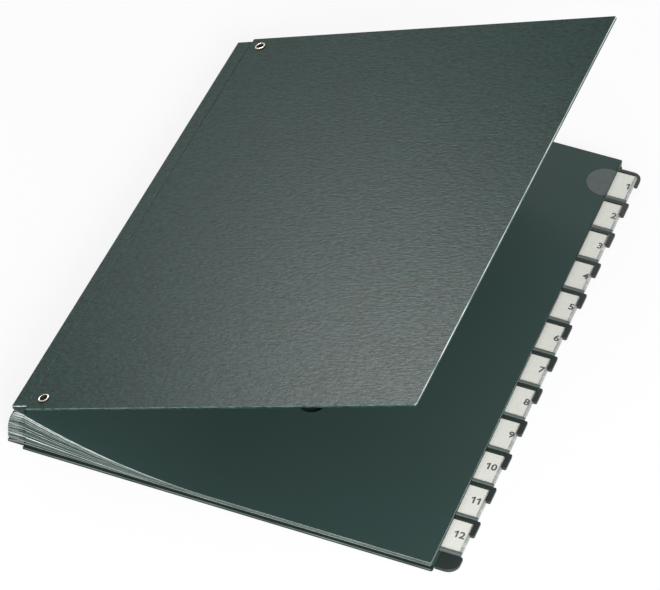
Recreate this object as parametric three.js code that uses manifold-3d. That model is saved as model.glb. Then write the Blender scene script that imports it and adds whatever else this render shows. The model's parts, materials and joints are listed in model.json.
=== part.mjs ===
// Monthly file sorter: a book of twelve numbered card leaves between two stiff covers, on a
// pleated spine, with the front cover held open above the leaves.
// Millimetres. While the sorter is built, x runs from the spine to the fore edge, y along the
// spine from the near end to the far end, and z up from the table. The group is then centred.

import * as THREE from 'three';
import { mergeVertices } from 'three/addons/utils/BufferGeometryUtils.js';
import Module from 'manifold-3d';

const wasm = await Module();
wasm.setup();

// Covers
const coverLength = 335;
const coverReach = 248;
const boardThickness = 1.6;
const boardCornerRadius = 1.2;
const hingeStripWidth = 9.3;
const hingeGroove = 0.6;
const stripInset = 2.5;
const openAngle = 22;

// Leaves
const tabCount = 12;
const leafCount = tabCount + 1;
const leafThickness = 0.2;
const leafGap = 0.04;
const leafSetback = 1.6;
const leafInset = 1.8;
const leafCornerRadius = 2.5;
const leafFall = 120;
const lowestLeafRise = 1.6;
const leafFallSteps = 10;
const stretchSteps = 3;
const viewingHoleRadius = 8;
const viewingHoleX = 145.5;
const viewingHoleInset = 87;

// Pleated spine, which stands open further at the near end than at the far end
const spineHeightNear = 28;
const spineHeightFar = 15;
const pleatThickness = 0.2;
const pleatRidgeX = 11.6;
const pleatLean = 4.4;
const pleatNose = 0.3;
const flangeReach = 24;
const hingeX = 4.5;
const hingeClearance = 0.45;
const topLeafDrop = 1.9;
const topLeafEntry = 0.4;
const leafEntryShare = 0.84;

// Index tabs, moulded holders with a card label under a clear window
const firstTabInset = 10.3;
const endEarLength = 13.9;
const labelWidth = 11.5;
const labelThickness = 0.22;
const farBarWidth = 2.5;
const nearRimWidth = 2.35;
const tabReach = 15.2;
const earReach = 10.8;
const holderStart = 0.4;
const jawInset = 1;
const jawThickness = 0.5;
const holderFloor = 0.35;
const windowThickness = 0.3;
const windowLip = 1.4;
const rimAboveWindow = 0.35;
const nearRimReach = 13.5;
const hookLength = 8.5;
const hookWidth = 3.5;
const hookTipWidth = 2.4;
const barCornerRadius = 2;
const firstBarCornerRadius = 6.5;
const rimBevel = 0.3;

// Plain ear below the last tab
const endEarReach = 14.3;
const endEarThickness = 2.1;
const endEarCornerRadius = 7;
const endEarFarRadius = 1.2;
const endEarInset = 2.4;

// Eyelets and the round spot beside the first tab
const eyeletFromSpine = 18;
const eyeletFromEnd = 8.5;
const eyeletHoleRadius = 1.75;
const eyeletWall = 0.4;
const eyeletRimRadius = 3.4;
const eyeletRimHeight = 0.55;
const spotRadius = 11.3;
const spotFromEdge = 3.5;
const spotThickness = 0.2;

// Clearances
const cardFit = 0.06;
const turnedFit = 0.25;
const sideFit = 0.15;
const eyeletFit = 0.3;

// Worked out from the sizes above
const coverAngle = THREE.MathUtils.degToRad(openAngle);
const leafNear = leafInset;
const leafFar = coverLength - leafInset;
const stripNear = stripInset;
const stripFar = coverLength - stripInset;
const boardStart = hingeStripWidth + hingeGroove;
const foldGap = boardThickness + cardFit;
const leafForeEdge = coverReach - leafSetback;
const leafPitch = leafThickness + leafGap;
const hingeTilt = Math.asin((spineHeightNear - spineHeightFar) / coverLength);
const tabPitch = (coverLength - firstTabInset - endEarLength) / tabCount;
const labelLength = tabPitch - farBarWidth - nearRimWidth - sideFit;
const firstLabelFar = coverLength - firstTabInset - farBarWidth;
const jawStart = leafSetback + jawInset;
const eyeletSeatDepth = eyeletRimHeight + cardFit;
const backGrip = foldGap + pleatThickness - eyeletSeatDepth;
const eyeletPlaces = [eyeletFromEnd, coverLength - eyeletFromEnd];
const viewingHolePlaces = [viewingHoleInset, coverLength - viewingHoleInset];

const coverCard = new THREE.MeshStandardMaterial({ color: 0x46544f, roughness: 0.55, metalness: 0 });
const innerCard = new THREE.MeshStandardMaterial({ color: 0x33423f, roughness: 0.7, metalness: 0 });
const leafCard = new THREE.MeshStandardMaterial({ color: 0x3d504e, roughness: 0.6, metalness: 0 });
const pleatCloth = new THREE.MeshStandardMaterial({ color: 0x8a9490, roughness: 0.75, metalness: 0 });
const blackPlastic = new THREE.MeshStandardMaterial({ color: 0x222f2b, roughness: 0.4, metalness: 0 });
const whiteCard = new THREE.MeshStandardMaterial({ color: 0xe6e5dc, roughness: 0.8, metalness: 0 });
const clearPlastic = new THREE.MeshStandardMaterial({
  color: 0xdfe6e6,
  roughness: 0.15,
  metalness: 0,
  transparent: true,
  opacity: 0.3,
});
const eyeletMetal = new THREE.MeshStandardMaterial({ color: 0xd9d3c0, roughness: 0.25, metalness: 1 });
const spotGrey = new THREE.MeshStandardMaterial({ color: 0x5f6666, roughness: 0.6, metalness: 0 });

// A closed geometry as a solid that can be joined and cut.
function solidOf(geometry) {
  geometry.deleteAttribute('normal');
  geometry.deleteAttribute('uv');
  const merged = mergeVertices(geometry, 1e-4);
  return new wasm.Manifold(new wasm.Mesh({
    numProp: 3,
    vertProperties: new Float32Array(merged.attributes.position.array),
    triVerts: new Uint32Array(merged.index.array),
  }));
}

// A solid back as a geometry.
function geometryOf(solid) {
  const mesh = solid.getMesh();
  const geometry = new THREE.BufferGeometry();
  geometry.setAttribute('position', new THREE.BufferAttribute(new Float32Array(mesh.vertProperties), 3));
  geometry.setIndex(new THREE.BufferAttribute(new Uint32Array(mesh.triVerts), 1));
  geometry.computeVertexNormals();
  return geometry;
}

function outline(points) {
  return new THREE.Shape(points.map(([u, v]) => new THREE.Vector2(u, v)));
}

// A rectangle in plan whose four corners may each have their own radius:
// near spine, near fore edge, far fore edge, far spine.
function roundedOutline(x0, y0, x1, y1, [a, b, c, d]) {
  const shape = new THREE.Shape();
  shape.moveTo(x0 + a, y0);
  shape.lineTo(x1 - b, y0);
  if (b > 0) shape.absarc(x1 - b, y0 + b, b, -Math.PI / 2, 0);
  shape.lineTo(x1, y1 - c);
  if (c > 0) shape.absarc(x1 - c, y1 - c, c, 0, Math.PI / 2);
  shape.lineTo(x0 + d, y1);
  if (d > 0) shape.absarc(x0 + d, y1 - d, d, Math.PI / 2, Math.PI);
  if (a > 0) {
    shape.lineTo(x0, y0 + a);
    shape.absarc(x0 + a, y0 + a, a, Math.PI, Math.PI * 1.5);
  }
  return shape;
}

function circlePath(x, y, radius) {
  const path = new THREE.Path();
  path.absarc(x, y, radius, 0, Math.PI * 2, true);
  return path;
}

// A plan outline given a thickness from z0 up to z1.
function plate(shape, z0, z1, curveSegments = 8) {
  const geometry = new THREE.ExtrudeGeometry(shape, { depth: z1 - z0, bevelEnabled: false, curveSegments });
  return geometry.translate(0, 0, z0);
}

// The same with its upper and lower edges bevelled inwards.
function bevelledPlate(shape, z0, z1, bevel) {
  const geometry = new THREE.ExtrudeGeometry(shape, {
    depth: z1 - z0 - 2 * bevel,
    bevelEnabled: true,
    bevelSize: bevel,
    bevelOffset: -bevel,
    bevelThickness: bevel,
    bevelSegments: 1,
    curveSegments: 5,
  });
  return geometry.translate(0, 0, z0 + bevel);
}

// A body whose section in x and z changes evenly along the spine, from yNear to yFar.
// sectionAt(y) gives the same number of [x, z] points, anticlockwise, at every y. Both sides of
// a sheet are split along the same diagonals, so that it keeps its thickness where it twists.
function alongSpine(sectionAt, yNear, yFar) {
  const rings = [];
  for (let i = 0; i <= stretchSteps; i += 1) {
    const y = yNear + ((yFar - yNear) * i) / stretchSteps;
    rings.push(sectionAt(y).map(([x, z]) => [x, y, z]));
  }
  const count = rings[0].length;
  const index = [];
  for (let i = 0; i < stretchSteps; i += 1) {
    for (let j = 0; j < count; j += 1) {
      const a = i * count + j;
      const b = i * count + ((j + 1) % count);
      const outbound = rings[i][(j + 1) % count][0] > rings[i][j][0];
      if (outbound) index.push(a, b + count, b, a, a + count, b + count);
      else index.push(a, a + count, b, b, a + count, b + count);
    }
  }
  const last = stretchSteps * count;
  const flat = rings[0].map(([x, , z]) => new THREE.Vector2(x, z));
  THREE.ShapeUtils.triangulateShape(flat, []).forEach(([a, b, c]) => {
    index.push(a, b, c, last + a, last + c, last + b);
  });
  const geometry = new THREE.BufferGeometry();
  geometry.setAttribute('position', new THREE.Float32BufferAttribute(rings.flat(2), 3));
  geometry.setIndex(index);
  return geometry;
}

function box(x0, y0, z0, x1, y1, z1) {
  const geometry = new THREE.BoxGeometry(x1 - x0, y1 - y0, z1 - z0);
  return geometry.translate((x0 + x1) / 2, (y0 + y1) / 2, (z0 + z1) / 2);
}

function upright(x, y, radius, z0, z1, segments = 24) {
  const geometry = new THREE.CylinderGeometry(radius, radius, z1 - z0, segments);
  return geometry.rotateX(Math.PI / 2).translate(x, y, (z0 + z1) / 2);
}

function named(name, geometry, material) {
  const mesh = new THREE.Mesh(geometry, material);
  mesh.name = name;
  return mesh;
}

const twoDigits = (number) => String(number).padStart(2, '0');

// Covers: a stiff board and, along the spine, a narrow strip that stops short of both ends.

// The board with its two eyelet holes, lying flat with its underside at z0. The holes widen to
// a pressed seat on the underside when seatDepth is given, so that an eyelet lies flush.
function coverBoard(z0, seatDepth = 0) {
  const r = boardCornerRadius;
  const shape = roundedOutline(boardStart, 0, coverReach, coverLength, [0, r, r, 0]);
  const holeRadius = eyeletHoleRadius + eyeletWall + eyeletFit;
  eyeletPlaces.forEach((y) => shape.holes.push(circlePath(eyeletFromSpine, y, holeRadius)));
  let board = solidOf(plate(shape, z0, z0 + boardThickness, 10));
  if (seatDepth > 0) {
    eyeletPlaces.forEach((y) => {
      const seat = upright(eyeletFromSpine, y, eyeletRimRadius + eyeletFit, z0 - 1, z0 + seatDepth);
      board = board.subtract(solidOf(seat));
    });
  }
  return geometryOf(board);
}

function hingeStrip(z0) {
  return box(0, stripNear, z0, hingeStripWidth, stripFar, z0 + boardThickness);
}

// The part of the pleated sheet that is stuck to the front cover's underside.
function frontFlange(z0) {
  const shape = roundedOutline(0, stripNear, flangeReach, stripFar, [0, 0, 0, 0]);
  const holeRadius = eyeletHoleRadius + eyeletWall + eyeletFit;
  eyeletPlaces.forEach((y) => shape.holes.push(circlePath(eyeletFromSpine, y, holeRadius)));
  return plate(shape, z0, z0 + pleatThickness, 10);
}

// One eyelet: a tube with a domed rim above and a rolled rim below, clamping what lies
// between z = 0 and z = grip.
function eyelet(grip, fit) {
  const tube = eyeletHoleRadius + eyeletWall;
  const low = -fit;
  const high = grip + fit;
  const crown = high + eyeletRimHeight;
  const profile = [
    [eyeletHoleRadius, low - eyeletRimHeight * 0.6],
    [eyeletHoleRadius + 0.5, low - eyeletRimHeight],
    [eyeletRimRadius - 0.5, low - eyeletRimHeight * 0.9],
    [eyeletRimRadius - 0.1, low - eyeletRimHeight * 0.4],
    [eyeletRimRadius - 0.3, low],
    [tube, low],
    [tube, high],
    [eyeletRimRadius, high],
    [eyeletRimRadius - 0.1, high + eyeletRimHeight * 0.55],
    [eyeletRimRadius - 0.75, crown],
    [eyeletHoleRadius + 0.6, crown - eyeletRimHeight * 0.15],
    [eyeletHoleRadius, high],
    [eyeletHoleRadius, low - eyeletRimHeight * 0.6],
  ].map(([r, z]) => new THREE.Vector2(r, z));
  return new THREE.LatheGeometry(profile, 20).rotateX(Math.PI / 2);
}

// Leaves are counted from the bottom: 0 is the plain end leaf, 12 carries the first tab.

function leafForeZ(n) {
  return foldGap + leafPitch * n;
}

// Height of the hinge line above the table at y.
function hingeZ(y) {
  return spineHeightNear + ((spineHeightFar - spineHeightNear) * y) / coverLength;
}

// Height of the curved stretch at x: every leaf falls in a parabola from the spine to where
// the stack lies flat.
function leafRise(n, y) {
  const fall = (1 - pleatRidgeX / leafFall) ** 2;
  const highest = (hingeZ(y) - topLeafDrop - leafForeZ(leafCount - 1)) / fall;
  return lowestLeafRise + ((highest - lowestLeafRise) * n) / (leafCount - 1);
}

function leafZ(n, x, y) {
  const share = Math.max(0, 1 - x / leafFall);
  return leafForeZ(n) + leafRise(n, y) * share ** 2;
}

const leafRootZ = (n, y) => leafZ(n, pleatRidgeX, y) + leafThickness / 2;

// Folds of the spine, from the bottom: outer folds point away from the leaves and lean in
// towards the top, inner ridges stand between two leaves.
function outerFold(m, y) {
  const z = m === 0 ? foldGap + pleatThickness / 2 : leafRootZ(m, y);
  return [pleatNose + pleatLean * (m / (leafCount - 1)) ** 3, z];
}

function innerRidge(m, y) {
  return [pleatRidgeX, (leafRootZ(m, y) + leafRootZ(m + 1, y)) / 2];
}

// Where the inner faces of two panels meet behind the fold that they share.
function creaseBetween(fold, before, after, half) {
  const slope = (to) => (to[1] - fold[1]) / (to[0] - fold[0]);
  const lower = Math.min(slope(before), slope(after));
  const upper = Math.max(slope(before), slope(after));
  const reach = (2 * half) / Math.abs(upper - lower);
  const side = Math.sign(before[0] - fold[0]);
  const low = side > 0 ? lower : upper;
  return [fold[0] + side * reach, fold[1] + half + low * side * reach];
}

// The section of the pleated sheet: a zigzag of even thickness whose first panel lies on the
// back cover and whose last one ends just under the front cover's hinge.
function pleatSection(y) {
  const half = pleatThickness / 2;
  const nose = half * 0.6;
  const folds = [[flangeReach, foldGap + half]];
  for (let m = 0; m < leafCount - 1; m += 1) {
    folds.push(outerFold(m, y));
    folds.push(innerRidge(m, y));
  }
  folds.push([hingeX + hingeClearance, hingeZ(y) - hingeClearance - half]);
  const spineSide = [];
  const leafSide = [];
  folds.forEach(([x, z], i) => {
    if (i === 0 || i === folds.length - 1) {
      spineSide.push([x, z - half]);
      leafSide.push([x, z + half]);
      return;
    }
    const crease = creaseBetween(folds[i], folds[i - 1], folds[i + 1], half);
    const outward = i % 2 === 1;
    const tip = [[x, z - half], [outward ? x - nose : x + nose, z], [x, z + half]];
    (outward ? spineSide : leafSide).push(...tip);
    (outward ? leafSide : spineSide).push(crease);
  });
  return [...leafSide, ...spineSide.reverse()];
}

function pleatedSpine() {
  let spine = solidOf(alongSpine(pleatSection, stripNear, stripFar));
  const holeRadius = eyeletHoleRadius + eyeletWall + eyeletFit;
  eyeletPlaces.forEach((y) => {
    spine = spine.subtract(solidOf(upright(eyeletFromSpine, y, holeRadius, 0, foldGap + 1, 20)));
  });
  return geometryOf(spine);
}

// The spine end of leaf n, on the line that halves its pleat. The top leaf ends just inside,
// because its pleat has no upper half.
function leafEntry(n, y) {
  const rootZ = leafZ(n, pleatRidgeX, y);
  if (n === leafCount - 1) return [pleatRidgeX - topLeafEntry, rootZ];
  const [x, z] = outerFold(n, y);
  const foldZ = z - leafThickness / 2;
  return [x + (pleatRidgeX - x) * leafEntryShare, foldZ + (rootZ - foldZ) * leafEntryShare];
}

// The section of leaf n at y, from its end inside the pleat to x = reach.
function leafSection(n, y, reach) {
  const lower = [leafEntry(n, y)];
  for (let i = 0; i <= leafFallSteps; i += 1) {
    const x = pleatRidgeX + ((leafFall - pleatRidgeX) * i) / leafFallSteps;
    lower.push([x, leafZ(n, x, y)]);
  }
  lower.push([reach, leafForeZ(n)]);
  const upper = lower.map(([x, z]) => [x, z + leafThickness]).reverse();
  return [...lower, ...upper];
}

// The outline of a leaf in plan: straight, with rounded fore corners, two viewing holes, and an
// ear that reaches out under its tab.
function leafPlan(ear) {
  const r = leafCornerRadius;
  const shape = new THREE.Shape();
  shape.moveTo(0, leafNear);
  if (ear.near > leafNear) {
    shape.lineTo(leafForeEdge - r, leafNear);
    shape.absarc(leafForeEdge - r, leafNear + r, r, -Math.PI / 2, 0);
    shape.lineTo(leafForeEdge, ear.near);
  }
  shape.lineTo(leafForeEdge + ear.reach, ear.near);
  shape.lineTo(leafForeEdge + ear.reach, ear.far);
  shape.lineTo(leafForeEdge, ear.far);
  shape.lineTo(leafForeEdge, leafFar - r);
  shape.absarc(leafForeEdge - r, leafFar - r, r, 0, Math.PI / 2);
  shape.lineTo(0, leafFar);
  viewingHolePlaces.forEach((y) => shape.holes.push(circlePath(viewingHoleX, y, viewingHoleRadius)));
  return shape;
}

function leafSolid(n, ear) {
  const sheet = solidOf(alongSpine((y) => leafSection(n, y, leafForeEdge + ear.reach), 0, coverLength));
  const plan = solidOf(plate(leafPlan(ear), 0, spineHeightNear + 1, 7));
  return sheet.intersect(plan);
}

// Tab k, from 1 at the far end: where its label lies along the fore edge.
function tabPlace(k) {
  const far = firstLabelFar - tabPitch * (k - 1);
  return { far, near: far - labelLength };
}

function tabLeaf(k) {
  const { near, far } = tabPlace(k);
  const ear = { near: near + sideFit, far: far - sideFit, reach: earReach };
  return geometryOf(leafSolid(leafCount - k, ear));
}

// The plain end leaf, with a thick ear that is rounded at the near end.
function endLeaf() {
  const near = leafNear;
  const far = tabPlace(tabCount).near - nearRimWidth - sideFit;
  const leaf = leafSolid(0, { near, far, reach: jawStart });
  const x0 = coverReach + turnedFit;
  const z1 = leafForeZ(0) + leafThickness;
  const x1 = leafForeEdge + endEarReach;
  const shape = roundedOutline(x0, endEarInset, x1, far, [0, endEarCornerRadius, endEarFarRadius, 0]);
  const ear = solidOf(bevelledPlate(shape, z1 - endEarThickness + rimBevel, z1 + rimBevel, rimBevel));
  return geometryOf(leaf.add(ear));
}

// Heights in a tab, from the underside of its leaf's ear.
const floorLow = leafThickness + cardFit;
const floorHigh = floorLow + holderFloor;
const labelLow = floorHigh + cardFit;
const labelHigh = labelLow + labelThickness;
const windowLow = labelHigh + cardFit;
const windowHigh = windowLow + windowThickness;
const rimHigh = windowHigh + rimAboveWindow;
const jawHigh = -cardFit;
const jawLow = jawHigh - jawThickness;

// The far bar of a tab and the hook that runs down its outer edge.
function hookOutline(x0, far, corner) {
  const x1 = leafForeEdge + tabReach;
  const y1 = far + farBarWidth;
  const inner = x1 - hookWidth;
  const tipRadius = hookTipWidth / 2;
  const tipY = far - hookLength + tipRadius;
  const tipX = x1 - (hookWidth - hookTipWidth) / 2 - tipRadius;
  const shape = new THREE.Shape();
  shape.moveTo(x0, far);
  shape.lineTo(inner, far);
  shape.lineTo(tipX - tipRadius, tipY);
  shape.absarc(tipX, tipY, tipRadius, Math.PI, Math.PI * 2);
  shape.lineTo(x1, y1 - corner);
  shape.absarc(x1 - corner, y1 - corner, corner, 0, Math.PI / 2);
  shape.lineTo(x0, y1);
  return shape;
}

// The moulded holder: a clip that closes on the ear from above and below, a bar across each
// end of the label, and the hook.
function tabHolder(k) {
  const { near, far } = tabPlace(k);
  const x0 = leafForeEdge + holderStart;
  const clipEnd = leafForeEdge + labelWidth;
  const nearOuter = near - nearRimWidth;
  const corner = k === 1 ? firstBarCornerRadius : barCornerRadius;
  const hook = bevelledPlate(hookOutline(x0, far, corner), jawHigh - cardFit, rimHigh, rimBevel);
  const rim = outline([[x0, nearOuter], [leafForeEdge + nearRimReach, nearOuter],
    [leafForeEdge + nearRimReach, near], [x0, near]]);
  const parts = [
    bevelledPlate(rim, jawHigh - cardFit, rimHigh, rimBevel),
    box(x0, near - 0.5, floorLow, clipEnd, far + 0.5, floorHigh),
    box(leafForeEdge + earReach + sideFit, near - 0.5, jawLow, clipEnd, far + 0.5, floorHigh),
    box(leafForeEdge + jawStart, nearOuter, jawLow, clipEnd, far + farBarWidth, jawHigh),
  ];
  const solid = parts.reduce((sum, geometry) => sum.add(solidOf(geometry)), solidOf(hook));
  return geometryOf(solid).translate(0, 0, leafForeZ(leafCount - k));
}

function label(k) {
  const { near, far } = tabPlace(k);
  const z = leafForeZ(leafCount - k);
  const x0 = leafForeEdge + holderStart;
  const x1 = leafForeEdge + labelWidth - sideFit;
  return box(x0, near + sideFit, z + labelLow, x1, far - sideFit, z + labelHigh);
}

// The clear window: flat over the label, with a turned-down lip outside the label where the
// hook leaves room.
function labelWindow(k) {
  const { near, far } = tabPlace(k);
  const x0 = leafForeEdge + holderStart;
  const flatEnd = leafForeEdge + labelWidth - sideFit;
  const lipEnd = leafForeEdge + labelWidth + windowLip;
  const lipFar = far - hookLength - sideFit;
  const flat = box(x0, near + sideFit, windowLow, flatEnd, far - sideFit, windowHigh);
  const shelf = box(flatEnd - 1, near + sideFit, windowLow, lipEnd, lipFar, windowHigh);
  const lip = box(lipEnd - windowThickness, near + sideFit, jawLow, lipEnd, lipFar, windowHigh);
  const solid = solidOf(flat).add(solidOf(shelf)).add(solidOf(lip));
  return geometryOf(solid).translate(0, 0, leafForeZ(leafCount - k));
}

// The round spot on the first leaf, cut straight along the leaf's fore edge.
function roundSpot() {
  const { near, far } = tabPlace(1);
  const halfChord = Math.acos(spotFromEdge / spotRadius);
  const shape = new THREE.Shape();
  shape.absarc(leafForeEdge - spotFromEdge, (near + far) / 2, spotRadius, halfChord, -halfChord);
  const z = leafForeZ(leafCount - 1) + leafThickness + cardFit;
  return plate(shape, z, z + spotThickness, 32);
}

const sorter = new THREE.Group();

sorter.add(named('back_cover_board', coverBoard(0, eyeletSeatDepth), coverCard));
sorter.add(named('back_hinge_strip', hingeStrip(0), coverCard));
sorter.add(named('pleated_spine', pleatedSpine(), pleatCloth));
sorter.add(named('end_leaf', endLeaf(), innerCard));
for (let k = tabCount; k >= 1; k -= 1) {
  sorter.add(named(`leaf_${twoDigits(k)}`, tabLeaf(k), leafCard));
  sorter.add(named(`tab_holder_${twoDigits(k)}`, tabHolder(k), blackPlastic));
  sorter.add(named(`label_${twoDigits(k)}`, label(k), whiteCard));
  sorter.add(named(`label_window_${twoDigits(k)}`, labelWindow(k), clearPlastic));
}
sorter.add(named('round_spot', roundSpot(), spotGrey));

eyeletPlaces.forEach((y, i) => {
  const back = named(`back_eyelet_${['near', 'far'][i]}`, eyelet(backGrip, cardFit), eyeletMetal);
  back.rotation.x = Math.PI;
  back.position.set(eyeletFromSpine, y, eyeletSeatDepth + backGrip);
  sorter.add(back);
});

// The front cover turns about the edge of its strip, at the top of the spine, which falls
// towards the far end.
const frontCover = new THREE.Group();
frontCover.position.set(hingeX, 0, spineHeightNear);
frontCover.rotation.set(-hingeTilt, -coverAngle, 0, 'XYZ');
const boardLift = pleatThickness + turnedFit;
frontCover.add(named('front_flange', frontFlange(0), pleatCloth));
frontCover.add(named('front_hinge_strip', hingeStrip(boardLift), coverCard));
frontCover.add(named('front_cover_board', coverBoard(boardLift), coverCard));
eyeletPlaces.forEach((y, i) => {
  const grip = boardLift + boardThickness;
  const front = named(`front_eyelet_${['near', 'far'][i]}`, eyelet(grip, turnedFit), eyeletMetal);
  front.position.set(eyeletFromSpine, y, 0);
  frontCover.add(front);
});
sorter.add(frontCover);

// The origin is the middle of the whole sorter in plan, on the table.
const middle = new THREE.Box3().setFromObject(sorter, true).getCenter(new THREE.Vector3());
sorter.position.set(-middle.x, -middle.y, 0);

export default sorter;
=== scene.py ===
"""Monthly file sorter: embossed covers, pleated spine, fanned card leaves and numbered index tabs.

Sizes are in millimetres in the book's own frame, as in the construction: x from the spine to the
fore edge, y along the spine from the near end, z up from the table. Meshes are put in metres in
the shared frame.
"""

from __future__ import annotations

import json
import logging
import math
from dataclasses import dataclass, field
from enum import Enum
from typing import Any, Sequence

import bpy
import numpy as np
from mathutils import Matrix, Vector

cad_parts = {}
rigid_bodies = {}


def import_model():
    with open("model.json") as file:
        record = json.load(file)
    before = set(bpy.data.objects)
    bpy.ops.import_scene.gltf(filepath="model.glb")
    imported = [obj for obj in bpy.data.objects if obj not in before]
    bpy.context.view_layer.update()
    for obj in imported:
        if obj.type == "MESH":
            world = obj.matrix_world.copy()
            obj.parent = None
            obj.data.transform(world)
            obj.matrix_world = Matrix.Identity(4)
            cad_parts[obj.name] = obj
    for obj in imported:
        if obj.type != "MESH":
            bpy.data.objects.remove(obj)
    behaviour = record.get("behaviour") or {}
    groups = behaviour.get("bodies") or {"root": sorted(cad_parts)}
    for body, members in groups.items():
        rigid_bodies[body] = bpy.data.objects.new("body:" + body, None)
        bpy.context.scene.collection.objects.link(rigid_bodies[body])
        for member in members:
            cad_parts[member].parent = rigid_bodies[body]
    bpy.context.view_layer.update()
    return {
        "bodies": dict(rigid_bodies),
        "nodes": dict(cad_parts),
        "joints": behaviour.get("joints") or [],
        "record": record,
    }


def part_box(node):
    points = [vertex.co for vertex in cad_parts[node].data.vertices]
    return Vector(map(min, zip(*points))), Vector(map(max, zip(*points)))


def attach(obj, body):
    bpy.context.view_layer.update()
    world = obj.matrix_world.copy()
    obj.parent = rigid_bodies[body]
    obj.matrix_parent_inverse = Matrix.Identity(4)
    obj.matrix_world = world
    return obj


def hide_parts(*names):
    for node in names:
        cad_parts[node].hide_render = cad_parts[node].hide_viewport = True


LOG = logging.getLogger("file_sorter")

MM = 0.001
SHARP = 40.0
HOLE_SIDES = 48

Colour = tuple[float, float, float]
Material = bpy.types.Material
Piece = bpy.types.Object
WHITE = (1.0, 1.0, 1.0, 1.0)


def shade(red: float, green: float, blue: float) -> Colour:
    """A colour written as 0 to 255 display values, as the linear values that a shader takes."""
    values = np.array([red, green, blue]) / 255.0
    linear = np.where(values <= 0.04045, values / 12.92, ((values + 0.055) / 1.055) ** 2.4)
    return tuple(float(v) for v in linear)


# Shader expressions


class Wiring:
    """A node tree that is being wired."""

    def __init__(self, owner: Material | bpy.types.World) -> None:
        """Empties the tree of a new material or world.

        Args:
            owner: the material or world.
        """
        owner.use_nodes = True
        self.tree = owner.node_tree
        self.tree.nodes.clear()

    def node(self, kind: str, settings: dict[str, Any] | None = None, **inputs: Any) -> bpy.types.Node:
        """Adds any node: its settings first, then its sockets.

        Args:
            kind: the node's type.
            settings: attributes of the node, such as a Math node's operation.
            inputs: socket name with _ for a space, or iN for the socket number N, and its value
                or link.

        Returns:
            The new node.
        """
        made = self.tree.nodes.new(kind)
        for key, value in (settings or {}).items():
            if key == "stops":
                self._set_stops(made, value)
            else:
                setattr(made, key, value)
        for key, value in inputs.items():
            numbered = key[0] == "i" and key[1:].isdigit()
            socket = made.inputs[int(key[1:]) if numbered else key.replace("_", " ")]
            if isinstance(value, Value):
                self.tree.links.new(value.socket, socket)
            else:
                socket.default_value = value
        return made

    @staticmethod
    def _set_stops(made: bpy.types.Node, stops: Sequence[tuple[float, float]]) -> None:
        """Sets a ramp's stops, each a place and a grey level."""
        elements = made.color_ramp.elements
        while len(elements) > len(stops):
            elements.remove(elements[-1])
        while len(elements) < len(stops):
            elements.new(1.0)
        for element, (place, level) in zip(elements, stops):
            element.position = place
            element.color = (level, level, level, 1.0)

    def value(
        self, kind: str, output: int | str = 0, settings: dict[str, Any] | None = None, **inputs: Any
    ) -> Value:
        """Adds a node and gives one of its outputs as a value."""
        return Value(self, self.node(kind, settings, **inputs).outputs[output])

    def rays(self, *kinds: str) -> list[Value]:
        """Whether a ray is of each of the kinds."""
        path = self.node("ShaderNodeLightPath")
        return [Value(self, path.outputs[f"Is {kind} Ray"]) for kind in kinds]


class Finish(Wiring):
    """A material that is being wired, with its output."""

    def __init__(self, name: str) -> None:
        """Starts an empty material.

        Args:
            name: the material's name.
        """
        self.material = bpy.data.materials.new(name)
        super().__init__(self.material)
        self.output = self.tree.nodes.new("ShaderNodeOutputMaterial")

    def place(self, scale: tuple[float, float, float] = (1.0, 1.0, 1.0), turn: float = 0.0) -> Value:
        """Object coordinates, scaled along each axis and turned about z.

        Args:
            scale: factor on each axis.
            turn: angle about z in radians.

        Returns:
            The coordinates as a vector value.
        """
        spot = self.value("ShaderNodeTexCoord", "Object")
        return self.value("ShaderNodeMapping", Vector=spot, Scale=scale, Rotation=(0.0, 0.0, turn))

    def noise(self, spot: Value, scale: float, detail: float = 2.0, rough: float = 0.5) -> Value:
        """A noise from 0 to 1 at the given scale per metre."""
        return self.value("ShaderNodeTexNoise", Vector=spot, Scale=scale, Detail=detail, Roughness=rough)

    def ramp(self, factor: Value, stops: Sequence[tuple[float, float]]) -> Value:
        """A grey level that follows the factor through the stops."""
        return self.value("ShaderNodeValToRGB", 0, {"stops": stops}, Fac=factor)

    def blend(self, factor: Value | float, first: Any, second: Any, way: str = "MIX") -> Value:
        """Mixes two colours.

        Args:
            factor: share of the second colour.
            first: colour or colour value.
            second: colour or colour value.
            way: the blending mode.

        Returns:
            The mixed colour.
        """
        settings = {"data_type": "RGBA", "blend_type": way}
        both = {"i6": as_colour(first), "i7": as_colour(second)}
        return self.value("ShaderNodeMix", 2, settings, i0=factor, **both)

    def bump(self, height: Value, strength: float, depth: float) -> Value:
        """A normal from a height between 0 and 1, where 1 stands depth metres proud."""
        return self.value("ShaderNodeBump", Height=height, Strength=strength, Distance=depth)

    def surface(self, **sockets: Any) -> Material:
        """Ends the material with one surface shader.

        Args:
            sockets: names of the shader's sockets with their values or links.

        Returns:
            The finished material.
        """
        return self.end(self.value("ShaderNodeBsdfPrincipled", **sockets))

    def end(self, shader: Value) -> Material:
        """Ends the material with a shader."""
        self.tree.links.new(shader.socket, self.output.inputs[0])
        return self.material


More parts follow.
